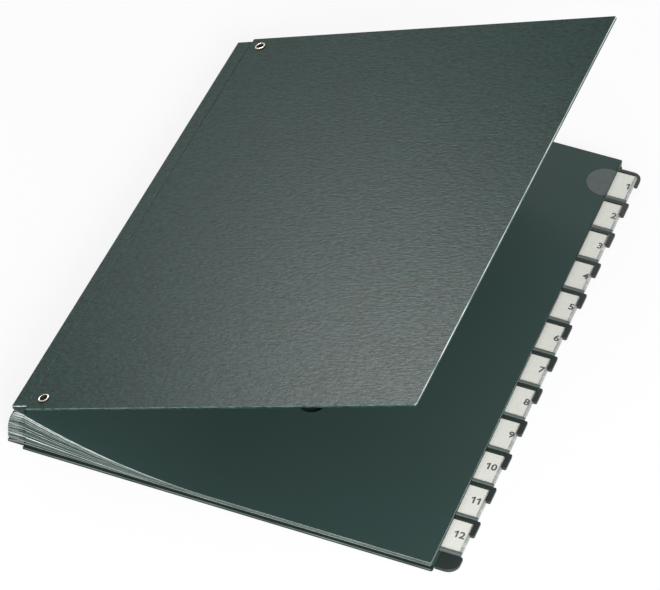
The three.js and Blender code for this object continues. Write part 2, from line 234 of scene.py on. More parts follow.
class Value:
    """An output socket that takes part in sums."""

    def __init__(self, finish: Wiring, socket: bpy.types.NodeSocket) -> None:
        """Keeps the socket with the wiring that it belongs to."""
        self.finish = finish
        self.socket = socket

    def _math(self, operation: str, first: Any, second: Any) -> Value:
        """One Math node on two values or numbers."""
        return self.finish.value("ShaderNodeMath", 0, {"operation": operation}, i0=first, i1=second)

    def __add__(self, other: Any) -> Value:
        """Sum."""
        return self._math("ADD", self, other)

    def __radd__(self, other: Any) -> Value:
        """Sum with a number on the left."""
        return self._math("ADD", other, self)

    def __sub__(self, other: Any) -> Value:
        """Difference."""
        return self._math("SUBTRACT", self, other)

    def __rsub__(self, other: Any) -> Value:
        """Difference from a number."""
        return self._math("SUBTRACT", other, self)

    def __mul__(self, other: Any) -> Value:
        """Product."""
        return self._math("MULTIPLY", self, other)

    def __rmul__(self, other: Any) -> Value:
        """Product with a number on the left."""
        return self._math("MULTIPLY", other, self)


def as_colour(value: Any) -> Any:
    """A colour with its fourth number, or the value itself where it is linked."""
    return value if isinstance(value, Value) else (*value, 1.0)


# Finishes


@dataclass(frozen=True)
class Coat:
    """A finish with its name and two tones, written as 0 to 255 display values."""

    name: str
    base: Colour
    other: Colour

    @property
    def tones(self) -> tuple[Colour, Colour]:
        """Both tones as linear values."""
        return shade(*self.base), shade(*self.other)

    def material(self) -> Material:
        """Wires the finish into a new material."""
        return self.wire(Finish(self.name))

    def wire(self, wired: Finish) -> Material:
        """Wires the finish; each kind has its own way."""
        raise NotImplementedError


@dataclass(frozen=True)
class EmbossedPaper(Coat):
    """Cover paper with a fine pebbled linen emboss, satin where the grain stands proud."""

    roughness: float = 0.29
    depth: float = 0.00008

    def wire(self, wired: Finish) -> Material:
        """Grain: a pebble noise, drawn out along x, with a finer one across it."""
        pebble = wired.noise(wired.place((0.55, 1.0, 0.55)), 620.0, 2.0, 0.5)
        thread = wired.noise(wired.place((0.3, 1.35, 0.3)), 760.0, 2.0, 0.5)
        across = wired.noise(wired.place((1.3, 0.45, 1.3)), 560.0, 1.5, 0.5)
        patch = wired.noise(wired.place(), 26.0, 3.0, 0.6)
        grain = wired.ramp(pebble * 0.45 + thread * 0.37 + across * 0.18, [(0.38, 0.0), (0.62, 1.0)])
        tone = grain * 0.8 + patch * 0.2
        # The colour follows the grain's height: darker in the pits as painted shade and lighter on the
        # proud grain as painted highlight; the patch noise adds random tone.
        colour = wired.blend(tone, *self.tones)
        return wired.surface(
            Base_Color=colour,
            Roughness=self.roughness + 0.05 * (1 - grain),
            Specular_IOR_Level=0.06,
            Normal=wired.bump(grain, 0.5, self.depth),
        )


@dataclass(frozen=True)
class SmoothCard(Coat):
    """Coated card: calendered, with faint fibres and very slight unevenness."""

    roughness: float = 0.5
    specular: float = 0.2

    def wire(self, wired: Finish) -> Material:
        """Fibres: a noise drawn out along y, over wide soft clouds."""
        fibre = wired.noise(wired.place((1.0, 0.16, 1.0)), 620.0, 3.0, 0.6)
        fleck = wired.noise(wired.place(), 2100.0, 1.0, 0.5)
        cloud = wired.noise(wired.place(), 9.0, 2.0, 0.5)
        colour = wired.blend(fibre * 0.35 + cloud * 0.65, *self.tones)
        return wired.surface(
            Base_Color=colour,
            Roughness=self.roughness + 0.14 * fibre,
            Specular_IOR_Level=self.specular,
            Normal=wired.bump(fibre * 0.5 + fleck * 0.5, 0.25, 0.00004),
        )


@dataclass(frozen=True)
class CutEdge(Coat):
    """Guillotined card edge: pale core, streaked with grey where the knife burred the fibres. On the
    cover boards it is a pale band of painted highlight along the rounded edges.
    """

    def wire(self, wired: Finish) -> Material:
        """Streaks: short noise along the edge, squeezed into bright and dull stretches."""
        burr = wired.noise(wired.place((0.4, 0.4, 1.0)), 260.0, 2.0, 0.5)
        long_burr = wired.noise(wired.place((1.0, 1.0, 20.0)), 42.0, 2.0, 0.5)
        share = wired.ramp(burr * 0.12 + long_burr * 0.88, [(0.34, 0.0), (0.66, 1.0)])
        return wired.surface(
            Base_Color=wired.blend(share, *self.tones[::-1]),
            Roughness=0.78 + 0.1 * burr,
            Specular_IOR_Level=0.2,
            Normal=wired.bump(burr, 0.5, 0.00008),
        )


@dataclass(frozen=True)
class MouldedPlastic(Coat):
    """Satin moulded plastic with a fine spark-eroded texture and a few handling marks."""

    roughness: float = 0.32

    def wire(self, wired: Finish) -> Material:
        """Texture: a fine noise; marks: thin bright ridges of a wide noise."""
        spark = wired.noise(wired.place(), 2600.0, 2.0, 0.6)
        smear = wired.noise(wired.place((1.0, 0.35, 1.0)), 130.0, 3.0, 0.6)
        marks = wired.ramp(smear, [(0.55, 0.0), (0.75, 1.0)])
        return wired.surface(
            Base_Color=wired.blend(marks * 0.5, *self.tones),
            Roughness=self.roughness + 0.1 * spark + 0.12 * marks,
            Normal=wired.bump(spark, 0.2, 0.00003),
        )


@dataclass(frozen=True)
class UncoatedPaper(Coat):
    """Matt paper or card with visible fibres."""

    roughness: float = 0.82

    def wire(self, wired: Finish) -> Material:
        """Fibres: two crossing drawn-out noises, with small specks."""
        along = wired.noise(wired.place((1.0, 0.2, 1.0), 0.5), 900.0, 3.0, 0.6)
        across = wired.noise(wired.place((0.2, 1.0, 1.0), -0.4), 900.0, 3.0, 0.6)
        share = wired.ramp(along * 0.5 + across * 0.5, [(0.35, 0.0), (0.7, 1.0)])
        return wired.surface(
            Base_Color=wired.blend(share * 0.6, *self.tones),
            Roughness=self.roughness + 0.1 * along,
            Specular_IOR_Level=0.25,
            Normal=wired.bump(share, 0.3, 0.00003),
        )


@dataclass(frozen=True)
class LabelPaper(UncoatedPaper):
    """Label paper that falls into shade where it slips under the leaf."""

    tuck: float = 0.0
    reach: float = 0.0034

    def wire(self, wired: Finish) -> Material:
        """Shade: grey at the tuck line, gone a reach further out along x."""
        along = wired.noise(wired.place((1.0, 0.2, 1.0), 0.5), 900.0, 3.0, 0.6)
        split = wired.node("ShaderNodeSeparateXYZ", Vector=wired.place())
        away = (Value(wired, split.outputs[0]) - self.tuck) * (1 / self.reach)
        shaded = wired.ramp(away, [(0.0, 0.55), (0.4, 0.12), (1.0, 0.0)])
        paper = wired.blend(along * 0.6, *self.tones)
        return wired.surface(
            Base_Color=wired.blend(shaded, paper, shade(96, 104, 100)),
            Roughness=self.roughness + 0.1 * along,
            Specular_IOR_Level=0.25,
            Normal=wired.bump(along, 0.3, 0.00003),
        )


@dataclass(frozen=True)
class ClearFilm(Coat):
    """Clear plastic film with faint rub marks."""

    cover: float = 0.05

    def wire(self, wired: Finish) -> Material:
        """Rub marks: drawn-out noise that makes the film a little milky."""
        rub = wired.noise(wired.place((0.3, 1.0, 1.0)), 260.0, 3.0, 0.6)
        milky = wired.ramp(rub, [(0.5, 0.0), (0.8, 1.0)])
        return wired.surface(
            Base_Color=wired.blend(milky, *self.tones),
            Alpha=self.cover + 0.08 * milky,
            Roughness=0.12 + 0.2 * milky,
            Normal=wired.bump(rub, 0.1, 0.00002),
        )


@dataclass(frozen=True)
class PressedMetal(Coat):
    """Plated metal pressed to shape: bright, with turning marks and dull patches."""

    def wire(self, wired: Finish) -> Material:
        """Patches: a soft noise between bright and dull; fine scratches in the gloss."""
        patch = wired.noise(wired.place(), 520.0, 3.0, 0.6)
        scratch = wired.noise(wired.place((1.0, 0.15, 1.0), 0.6), 2400.0, 2.0, 0.6)
        return wired.surface(
            Base_Color=wired.blend(patch, *self.tones),
            Metallic=1.0,
            Roughness=0.2 + 0.2 * scratch,
            Normal=wired.bump(scratch, 0.25, 0.00003),
        )


@dataclass(frozen=True)
class PrintInk(Coat):
    """Flat printing ink, a little uneven where the paper shows through."""

    def wire(self, wired: Finish) -> Material:
        """Unevenness: a fine noise between full and thin ink."""
        fine = wired.noise(wired.place(), 1800.0, 3.0, 0.7)
        share = wired.ramp(fine, [(0.45, 0.0), (0.75, 1.0)])
        return wired.surface(
            Base_Color=wired.blend(share * 0.6, *self.tones),
            Roughness=0.6 + 0.15 * fine,
            Specular_IOR_Level=0.3,
        )


class Slot(Enum):
    """The record's material slots."""

    COVER = "cover_board"
    LEAF = "leaf_card"
    SPINE = "spine_card"
    TAB = "tab_plastic"
    LABEL = "label_card"
    WINDOW = "clear_window"
    EYELET = "eyelet_metal"
    SPOT = "spot_paper"


class Body(Enum):
    """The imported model's bodies."""

    ROOT = "root"
    COVER = "front_cover"


class Palette:
    """Every finish of the sorter, wired once."""

    def __init__(self, tuck: float) -> None:
        """Wires the finishes.

        Args:
            tuck: where the labels slip under the leaves, along x in metres.
        """
        self.cover = EmbossedPaper("cover_paper", (0, 22, 18), (34, 74, 67)).material()
        # The lining is darker than its own dark card so that the viewing holes read as dark pits: painted
        # shade.
        self.lining = SmoothCard("cover_lining_painted_shade", (26, 38, 35), (34, 47, 44), 0.62).material()
        # The two cover edge finishes are pale bands of painted highlight on the boards' rounded upper
        # edges, the brighter one at the front board's fore edge.
        self.cover_edge = CutEdge("board_edge_painted_highlight", (214, 220, 216), (120, 132, 127)).material()
        self.soft_edge = CutEdge("board_soft_edge_painted_highlight", (112, 124, 119), (52, 66, 62)).material()
        self.leaf = SmoothCard("leaf_card_face", (44, 63, 59), (52, 72, 69)).material()
        edges = [
            ((206, 212, 210), (140, 152, 148)),
            ((142, 153, 150), (92, 105, 101)),
            ((92, 104, 100), (56, 70, 66)),
        ]
        self.leaf_edges = [
            CutEdge(f"leaf_card_edge_{i}", *edge).material() for i, edge in enumerate(edges)
        ]
        self.pleat_edge = CutEdge("pleat_card_edge", (212, 218, 216), (132, 144, 140)).material()
        self.pleat = UncoatedPaper("pleat_card_face", (58, 72, 68), (82, 95, 91)).material()
        self.tab = MouldedPlastic("tab_moulding", (24, 36, 33), (48, 62, 58)).material()
        # The rims take a lighter copy of the tab moulding: painted highlight on their lit tops.
        self.rim = MouldedPlastic("tab_rim_painted_highlight", (84, 94, 91), (116, 124, 121), 0.42).material()
        self.ear = MouldedPlastic("end_ear_board", (27, 38, 35), (46, 58, 55), 0.4).material()
        self.label = LabelPaper("label_paper", (228, 228, 219), (238, 238, 230), tuck=tuck).material()
        self.ink = PrintInk("number_ink", (58, 64, 64), (82, 88, 87)).material()
        self.film = ClearFilm("window_film", (214, 222, 220), (250, 250, 246)).material()
        self.film_rim = ClearFilm("window_film_rim", (150, 158, 156), (250, 250, 246), 0.5).material()
        self.metal = PressedMetal("eyelet_plating", (206, 200, 184), (128, 122, 106)).material()
        # The slopes take a darker copy of the plating, and the bore a near-black finish: painted shade on
        # the eyelets.
        self.tarnish = PressedMetal("eyelet_painted_shade_metal", (96, 94, 84), (62, 64, 60)).material()
        self.bore = MouldedPlastic("eyelet_bore_painted_shade", (20, 26, 25), (34, 38, 36), 0.6).material()
        self.spot = UncoatedPaper("spot_card", (90, 96, 96), (104, 110, 110)).material()


# Mesh making


@dataclass(frozen=True)
class Place:
    """A right-angled frame in millimetres: where its origin lies in metres and its three axes."""

    origin: np.ndarray
    axes: np.ndarray

    def to_world(self, points: np.ndarray) -> np.ndarray:
        """World point = origin + x times the first axis + y times the second + z times the third.

        Args:
            points: an array of n points in millimetres.

        Returns:
            The points in metres in the shared frame.
        """
        return self.origin + (np.asarray(points, float) * MM) @ self.axes


@dataclass
class Shell:
    """A mesh under construction: points in millimetres, faces, and each face's material number."""

    points: list[np.ndarray] = field(default_factory=list)
    faces: list[list[int]] = field(default_factory=list)
    numbers: list[int] = field(default_factory=list)

    def add(self, points: np.ndarray, faces: Sequence[Sequence[int]], number: int = 0) -> None:
        """Adds points with the faces that join them.

        Args:
            points: an array of points, whose last axis holds x, y, z.
            faces: lists of indices into these points.
            number: the faces' material number.
        """
        start = sum(len(p) for p in self.points)
        self.points.append(np.asarray(points, float).reshape(-1, 3))
        self.faces += [[start + int(i) for i in face] for face in faces]
        self.numbers += [number] * len(faces)

    def join(self, other: Shell, number: int = 0) -> None:
        """Adds another shell under one material number."""
        self.add(np.concatenate(other.points), other.faces, number)

    def build(
        self, name: str, place: Place, materials: Sequence[Material], sharp: float = SHARP
    ) -> Piece:
        """Makes the object, at the origin with its place in its mesh.

        Args:
            name: the piece's name.
            place: the frame that the points are given in.
            materials: one material for each material number.
            sharp: edges that turn by more than this many degrees stay sharp.

        Returns:
            The new object.
        """
        mesh = bpy.data.meshes.new(name)
        mesh.from_pydata(place.to_world(np.concatenate(self.points)).tolist(), [], self.faces)
        for material in materials:
            mesh.materials.append(material)
        mesh.polygons.foreach_set("material_index", np.array(self.numbers, np.int32))
        level_caps(mesh, sharp)
        piece = bpy.data.objects.new(name, mesh)
        bpy.context.scene.collection.objects.link(piece)
        return piece


def quads(rows: int, columns: int, closed_rows: bool = False, closed_columns: bool = False) -> np.ndarray:
    """Faces of a grid of points: each joins a point with its next ones along and across.

    Args:
        rows: number of rows.
        columns: number of points in a row.
        closed_rows: whether the last row joins the first.
        closed_columns: whether each row's last point joins its first.

    Returns:
        An array of faces with four indices each.
    """
    i = np.arange(rows if closed_rows else rows - 1)
    j = np.arange(columns if closed_columns else columns - 1)
    a, b = np.meshgrid(i, j, indexing="ij")
    down, right = (a + 1) % rows, (b + 1) % columns
    corners = [a * columns + b, a * columns + right, down * columns + right, down * columns + b]
    return np.stack(corners, -1).reshape(-1, 4)


def rounded_outline(
    x0: float, y0: float, x1: float, y1: float, radii: Sequence[float], steps: int = 7
) -> np.ndarray:
    """A rectangle with four rounded corners, anticlockwise.

    Each corner is a quarter circle: centre + radius (cos t, sin t), with t over its quarter turn.

    Args:
        x0: lowest x.
        y0: lowest y.
        x1: highest x.
        y1: highest y.
        radii: corner radii at (x0, y0), (x1, y0), (x1, y1) and (x0, y1).
        steps: points on each corner.

    Returns:
        An array of n points in x and y.
    """
    spots = [(x0, y0, 1, 1, 180), (x1, y0, -1, 1, 270), (x1, y1, -1, -1, 0), (x0, y1, 1, -1, 90)]
    corners = []
    for (x, y, sx, sy, start), radius in zip(spots, radii):
        t = np.radians(start + np.linspace(0, 90, steps))
        centre = np.array([x + sx * radius, y + sy * radius])
        corners.append(centre + radius * np.stack([np.cos(t), np.sin(t)], -1))
    outline = np.concatenate(corners)
    apart = np.linalg.norm(outline - np.roll(outline, 1, axis=0), axis=1) > 1e-6
    return outline[apart]


def soft_corners(corners: np.ndarray, radii: Sequence[float], steps: int = 6) -> np.ndarray:
    """A polygon of square corners, each turned with its own radius.

    A corner p between the directions a and b becomes p + r (a + b) - r (b cos t + a sin t), with t
    over a quarter turn.

    Args:
        corners: the corners in order.
        radii: one radius for each.
        steps: points on each.

    Returns:
        The rounded outline.
    """
    t = np.linspace(0, math.pi / 2, steps)[:, None]
    back = np.roll(corners, 1, axis=0) - corners
    ahead = np.roll(corners, -1, axis=0) - corners
    arcs = []
    for p, a, b, r in zip(corners, back, ahead, radii):
        a, b = a / np.linalg.norm(a), b / np.linalg.norm(b)
        arcs.append(p + r * (a + b) - r * (b * np.cos(t) + a * np.sin(t)))
    return np.concatenate(arcs)


def inset_outline(outline: np.ndarray, inset: np.ndarray) -> np.ndarray:
    """Moves an outline inwards, once for each inset: point + inset times the inward mean normal.

    Args:
        outline: anticlockwise points in x and y.
        inset: distances.

    Returns:
        An array of len(inset) outlines.
    """
    forward = np.roll(outline, -1, axis=0) - outline
    forward /= np.linalg.norm(forward, axis=1)[:, None]
    left = np.stack([-forward[:, 1], forward[:, 0]], -1)
    both = left + np.roll(left, 1, axis=0)
    both /= np.linalg.norm(both, axis=1)[:, None]
    stretch = 1.0 / np.maximum(0.5, np.sum(both * left, axis=1))
    return outline[None] + inset[:, None, None] * (both * stretch[:, None])[None]


def tube_shell(rings: np.ndarray, first: int = 0, last: int = 0) -> Shell:
    """Rings of points joined in turn, with a flat cap on each end.

    Args:
        rings: the points, rings by points by 3.
        first: material number of the first cap.
        last: material number of the last cap.

    Returns:
        The closed shell.
    """
    rows, count = rings.shape[:2]
    shell = Shell()
    shell.add(rings, quads(rows, count, closed_columns=True))
    shell.faces += [list(range(count))[::-1], list(range((rows - 1) * count, rows * count))]
    shell.numbers += [first, last]
    return shell


def prism_shell(ring: np.ndarray, z0: float, z1: float) -> Shell:
    """An upright prism over a ring of points in x and y."""
    return tube_shell(np.stack([np.insert(ring, 2, z, axis=1) for z in (z0, z1)]))


def board_shell(
    outline: np.ndarray, z0: float, z1: float, edge: float, steps: int = 4, line: int = 0
) -> Shell:
    """A board with rounded edges: a half-round profile carried round the outline.

    The profile runs from the underside to the top: inset = edge (1 - sin t) and height from the
    face = edge (1 - cos t), with t over a quarter turn for each of the two edges. One more ring
    parts a sixth of the upright side, and one lies flat beside each face's rim to keep it level.

    Args:
        outline: anticlockwise points in x and y.
        z0: underside.
        z1: top.
        edge: radius of the edges.
        steps: points on each rounded edge.
        line: material number of the upper edge and the part of the side next to it.

    Returns:
        The closed shell: material 0 is the top, material 1 the underside.
    """
    t = np.linspace(0, math.pi / 2, steps)
    part = z1 - edge - (z1 - z0 - 2 * edge) / 6
    hold = edge * 1.2
    inwards, fall = edge * (1 - np.sin(t)), edge * (1 - np.cos(t))
    inset = np.concatenate([[hold], inwards, [0.0], inwards[::-1], [hold]])
    height = np.concatenate([[z0], z0 + fall, [part], z1 - fall[::-1], [z1]])
    rings = inset_outline(outline, inset)
    rows, count = rings.shape[:2]
    heights = np.broadcast_to(height[:, None, None], (rows, count, 1))
    shell = tube_shell(np.concatenate([rings, heights], -1), 1, 0)
    first, last = count * (steps + 1), count * (rows - 2)
    shell.numbers[first:last] = [line] * (last - first)
    return shell


def sheet_shell(lower: np.ndarray, upper: np.ndarray) -> Shell:
    """A thin sheet between two grids of the same size, closed by its four cut edges.

    Args:
        lower: the underside's grid, rows by columns by 3.
        upper: the top's grid.

    Returns:
        The closed shell: material 0 is both faces, material 1 the cut edges.
    """
    rows, columns = lower.shape[:2]
    number = np.arange(rows * columns).reshape(rows, columns)
    grid = quads(rows, columns)
    rim = np.concatenate([number[0, :-1], number[:-1, -1], number[-1, :0:-1], number[:0:-1, 0]])
    after = np.roll(rim, -1)
    top = rows * columns
    shell = Shell()
    shell.add(np.concatenate([lower.reshape(-1, 3), upper.reshape(-1, 3)]), grid[:, ::-1], 0)
    shell.faces += (grid + top).tolist()
    shell.numbers += [0] * len(grid)
    band = np.stack([rim, after, after + top, rim + top], -1)
    shell.faces += band.tolist()
    shell.numbers += [1] * len(band)
    return shell


def revolved_shell(profile: np.ndarray, centre: Sequence[float], turns: int = 48) -> Shell:
    """A closed profile turned about an upright axis: point = centre + (r cos t, r sin t, z).

    Args:
        profile: closed loop of radius and height, anticlockwise with the axis on its left.
        centre: the axis in x and y, and the height of z = 0.
        turns: number of steps round.

    Returns:
        The closed ring.
    """
    t = np.linspace(0, 2 * math.pi, turns, endpoint=False)
    radius, height = profile[:, 0][:, None], profile[:, 1][:, None]
    rings = np.broadcast_arrays(radius * np.cos(t), radius * np.sin(t), height)
    shell = Shell()
    shell.add(np.stack(rings, -1) + np.array(centre), quads(len(profile), turns, True, True)[:, ::-1])
    return shell


def smooth_loop(corners: np.ndarray, rounds: int = 2) -> np.ndarray:
    """Cuts the corners of a closed loop: each side gives a point at a quarter and at three quarters."""
    loop = np.asarray(corners, float)
    for _ in range(rounds):
        after = np.roll(loop, -1, axis=0)
        loop = np.stack([0.75 * loop + 0.25 * after, 0.25 * loop + 0.75 * after], 1).reshape(-1, 2)
    return loop


def level_caps(mesh: bpy.types.Mesh, sharp: float) -> None:
    """Shades faces of more than four corners flat, and edges over the sharp angle hard."""
    corners = np.zeros(len(mesh.polygons), int)
    mesh.polygons.foreach_get("loop_total", corners)
    mesh.polygons.foreach_set("use_smooth", corners <= 4)
    mesh.set_sharp_from_angle(angle=math.radians(sharp))
    mesh.update()


def drill(
    piece: Piece, place: Place, spots: Sequence[tuple[float, float]], radius: float, z0: float, z1: float
) -> None:
    """Cuts upright round holes through a piece and keeps the result as its mesh.

    Args:
        piece: the object that is drilled.
        place: the frame of the holes' places.
        spots: the holes' centres in x and y.
        radius: the holes' radius.
        z0: where the holes start.
        z1: where they end.
    """
    t = np.linspace(0, 2 * math.pi, HOLE_SIDES, endpoint=False)
    bits = Shell()
    for x, y in spots:
        bits.join(prism_shell(np.stack([x + radius * np.cos(t), y + radius * np.sin(t)], -1), z0, z1))
    cutter = bits.build("bits", place, [])
    cut = piece.modifiers.new("holes", "BOOLEAN")
    cut.operation = "DIFFERENCE"
    cut.solver = "EXACT"
    cut.object = cutter
    depsgraph = bpy.context.evaluated_depsgraph_get()
    depsgraph.update()
    made = bpy.data.meshes.new_from_object(piece.evaluated_get(depsgraph))
    piece.modifiers.clear()
    old = piece.data
    piece.data = made
    bpy.data.meshes.remove(old)
    bpy.data.objects.remove(cutter)
    made.name = piece.name
    level_caps(made, SHARP)


def finish_piece(piece: Piece, body: Body, slot: Slot, *nodes: str) -> None:
    """Lets a finished piece ride on its body and stand for its nodes, and reports it."""
    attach(piece, body.value)
    if nodes:
        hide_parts(*nodes)
    LOG.info("made %s: %d faces, rides on %s", piece.name, len(piece.data.polygons), body.value)


def dress(node: Piece, material: Material) -> None:
    """Gives a carried-over node its finish."""
    node.data.materials.clear()
    node.data.materials.append(material)
    LOG.info("dressed %s with %s", node.name, material.name)


# The sorter


@dataclass
class Book:
    """The sorter's main sizes and frames, shared by its sub-assemblies."""

    frame: dict[str, Any]
    cover_length: float = 335.0
    cover_reach: float = 248.0
    board: float = 1.6
    strip: float = 9.3
    groove: float = 0.6
    strip_inset: float = 2.5
    leaf_setback: float = 1.6
    open_angle: float = 22.0
    hinge_x: float = 4.5
    height_near: float = 28.0
    height_far: float = 15.0
    eyelet_spine: float = 18.0
    eyelet_end: float = 8.5
    flat: Place = field(init=False)
    cover: Place = field(init=False)

    def __post_init__(self) -> None:
        """Finds the book's frame from the back board, and the cover's from the joint."""
        low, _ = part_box("back_cover_board")
        start = (self.strip + self.groove) * MM
        self.flat = Place(np.array([low.x - start, low.y, 0.0]), np.eye(3))
        joint = self.frame["joints"][0]
        along = -np.array(joint["axis"], float)
        along /= np.linalg.norm(along)
        tilt = math.atan2(-along[2], along[1])
        angle = math.radians(self.open_angle)
        rise = math.sin(angle)
        across = np.array([math.cos(angle), rise * math.sin(tilt), rise * math.cos(tilt)])
        axes = np.stack([across, along, np.cross(across, along)])
        self.cover = Place(np.array(joint["pos_m"], float), axes)

    def box(self, node: str) -> tuple[np.ndarray, np.ndarray]:
        """A node's box in the book's millimetres."""
        low, high = ((np.array(corner) - self.flat.origin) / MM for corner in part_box(node))
        return low, high

    @property
    def fore_edge(self) -> float:
        """Where the leaves end."""
        return self.cover_reach - self.leaf_setback

    def hinge_height(self, y: np.ndarray) -> np.ndarray:
        """Height of the hinge line: falls evenly from the near to the far end."""
        return self.height_near + (self.height_far - self.height_near) * y / self.cover_length

    @property
    def eyelet_spots(self) -> list[tuple[float, float]]:
        """Where the two eyelets go through a cover."""
        return [(self.eyelet_spine, y) for y in (self.eyelet_end, self.cover_length - self.eyelet_end)]


@dataclass(frozen=True)
class Side:
    """One cover: its name, where it lies and what it is wrapped in."""

    name: str
    place: Place
    body: Body
    z0: float
    z1: float
    upper: Material
    lower: Material
    line: Material


@dataclass
class Covers:
    """Both boards and hinge strips, wrapped in embossed paper, with their eyelets."""

    book: Book
    palette: Palette
    edge: float = 0.3
    corner: float = 1.2
    lift: float = 0.45
    hole: float = 2.45
    rim: float = 3.4
    rim_height: float = 0.55
    rim_fit: float = 0.25
    bore: float = 1.75
    wall: float = 0.4
    crown_radius: float = 2.85
    crown_width: float = 0.7
    sag: float = 0.14
    crease: float = 0.48
    back_corner: float = 8.0
    spine_corner: float = 0.5
    strip_corner: float = 0.4
    crease_inset: float = 0.3
    paper: float = 0.12

    def build(self) -> None:
        """Makes the boards, the strips, the creases and the eyelets of both covers."""
        b, p = self.book, self.palette
        top = self.lift + b.board
        for side in (
            Side("back", b.flat, Body.ROOT, 0.0, b.board, p.lining, p.cover, p.cover),
            Side("front", b.cover, Body.COVER, self.lift, top, p.cover, p.lining, p.cover_edge),
        ):
            finish_piece(self.board(side), side.body, Slot.COVER, f"{side.name}_cover_board")
            finish_piece(self.hinge_strip(side), side.body, Slot.COVER, f"{side.name}_hinge_strip")
            finish_piece(self.crease_skin(side), side.body, Slot.COVER)
        self.eyelets()
        dress(b.frame["nodes"]["front_flange"], p.pleat)

    def board(self, side: Side) -> Piece:
        """One stiff board with its eyelet holes.

        Args:
            side: the cover.

        Returns:
            The board.
        """
        b = self.book
        far_corner = self.corner if side.name == "front" else self.back_corner
        radii = [self.spine_corner, self.corner, far_corner, self.spine_corner]
        outline = rounded_outline(b.strip + b.groove, 0, b.cover_reach, b.cover_length, radii)
        shell = board_shell(outline, side.z0, side.z1, self.edge, line=2)
        starts = np.concatenate(shell.points)[[face[0] for face in shell.faces], 0]
        numbers = np.array(shell.numbers)
        # Edges short of the fore edge take the dimmer band of painted highlight.
        numbers[(numbers == 2) & (starts < b.cover_reach - 1)] = 3
        shell.numbers = numbers.tolist()
        materials = [side.upper, side.lower, side.line, self.palette.soft_edge]
        made = shell.build(f"{side.name}_board", side.place, materials)
        drill(made, side.place, b.eyelet_spots, self.hole, side.z0 - 1, side.z1 + 1)
        return made

    def hinge_strip(self, side: Side) -> Piece:
        """The narrow strip along the spine, short of both ends.

        Args:
            side: the cover.

        Returns:
            The strip.
        """
        b = self.book
        far = b.cover_length - b.strip_inset
        outline = rounded_outline(0, b.strip_inset, b.strip, far, [self.strip_corner] * 4)
        shell = board_shell(outline, side.z0, side.z1, self.edge, line=2)
        return shell.build(f"{side.name}_strip", side.place, [self.palette.cover] * 2 + [side.line])

    def crease_skin(self, side: Side) -> Piece:
        """The cover paper over the groove between strip and board.

        Height = outer face + rise - sag (1 - w^2)^2, with w from -1 to 1 across the crease and the
        rise a hair above the front board, or under the round of the back one.

        Args:
            side: the cover.

        Returns:
            The strip of paper.
        """
        b = self.book
        front = side.name == "front"
        ends = b.strip_inset + self.crease_inset
        u = np.linspace(-1, 1, 25)[:, None]
        v = np.linspace(ends, b.cover_length - ends, 21)[None, :]
        outer, inwards = (side.z1, -1.0) if front else (side.z0, 1.0)
        middle = b.strip + b.groove / 2
        half, rise = (0.85, -0.012) if front else (b.groove / 2 + self.edge * 0.7, 0.14)
        w = np.clip(u * half / self.crease, -1, 1)
        z = outer + inwards * (rise + self.sag * (1 - w**2) ** 2)
        outside = np.stack(np.broadcast_arrays(middle + u * half, v, z), -1)
        inside = outside + np.array([0, 0, inwards * self.paper])
        lower, upper = (inside, outside) if front else (outside, inside)
        shell = sheet_shell(lower.transpose(1, 0, 2), upper.transpose(1, 0, 2))
        return shell.build(f"{side.name}_crease", side.place, [self.palette.cover] * 2)

    def eyelet_profile(self, low: float, high: float) -> np.ndarray:
        """The closed section of an eyelet: rolled rim below, tube, domed rim above.

        Args:
            low: underside of the cover.
            high: its outer face.

        Returns:
            A loop of radius and height.
        """
        h, r, inner = self.rim_height, self.rim, self.bore
        tube = inner + self.wall
        loop = [
            (inner, low - h * 0.5), (inner + 0.55, low - h), (r - 0.7, low - h * 0.95),
            (r - 0.1, low - h * 0.4), (r - 0.35, low), (tube, low), (tube, high), (r - 0.15, high),
            (r, high + h * 0.35), (r - 0.45, high + h * 0.92), (inner + 0.75, high + h),
            (inner, high + h * 0.3), (inner, (low + high) / 2),
        ]
        return smooth_loop(np.array(loop[::-1]))

    def ring_numbers(self, shell: Shell, centre: tuple[float, float], face: float) -> list[int]:
        """Materials of an eyelet: bright plating on the crown as painted highlight, a darker copy of it
        on the slopes and a dark bore in the tube as painted shade.

        Args:
            shell: the eyelet's shell.
            centre: its axis in x and y.
            face: height of the cover's outer face.

        Returns:
            One number for each face: 0 crown, 1 slopes, 2 tube.
        """
        points = np.concatenate(shell.points)
        middle = points[np.array(shell.faces)].mean(1)
        radius = np.hypot(middle[:, 0] - centre[0], middle[:, 1] - centre[1])
        crown = (middle[:, 2] > face + 0.3) & (np.abs(radius - self.crown_radius) < self.crown_width / 2)
        return np.where(crown, 0, np.where(radius < self.bore + 0.22, 2, 1)).tolist()

    def eyelets(self) -> None:
        """Revolves the front eyelets and dresses the back ones."""
        b, p = self.book, self.palette
        face = self.lift + b.board
        profile = self.eyelet_profile(-self.rim_fit, face + self.rim_fit)
        for (x, y), end in zip(b.eyelet_spots, ("near", "far")):
            shell = revolved_shell(profile, (x, y, 0.0))
            shell.numbers = self.ring_numbers(shell, (x, y), face)
            # Crown in bright plating, slopes and bore in darker finishes: painted highlight and painted
            # shade.
            front = shell.build(f"front_eyelet_ring_{end}", b.cover, [p.metal, p.tarnish, p.bore], 60)
            finish_piece(front, Body.COVER, Slot.EYELET, f"front_eyelet_{end}")
            dress(b.frame["nodes"][f"back_eyelet_{end}"], p.metal)


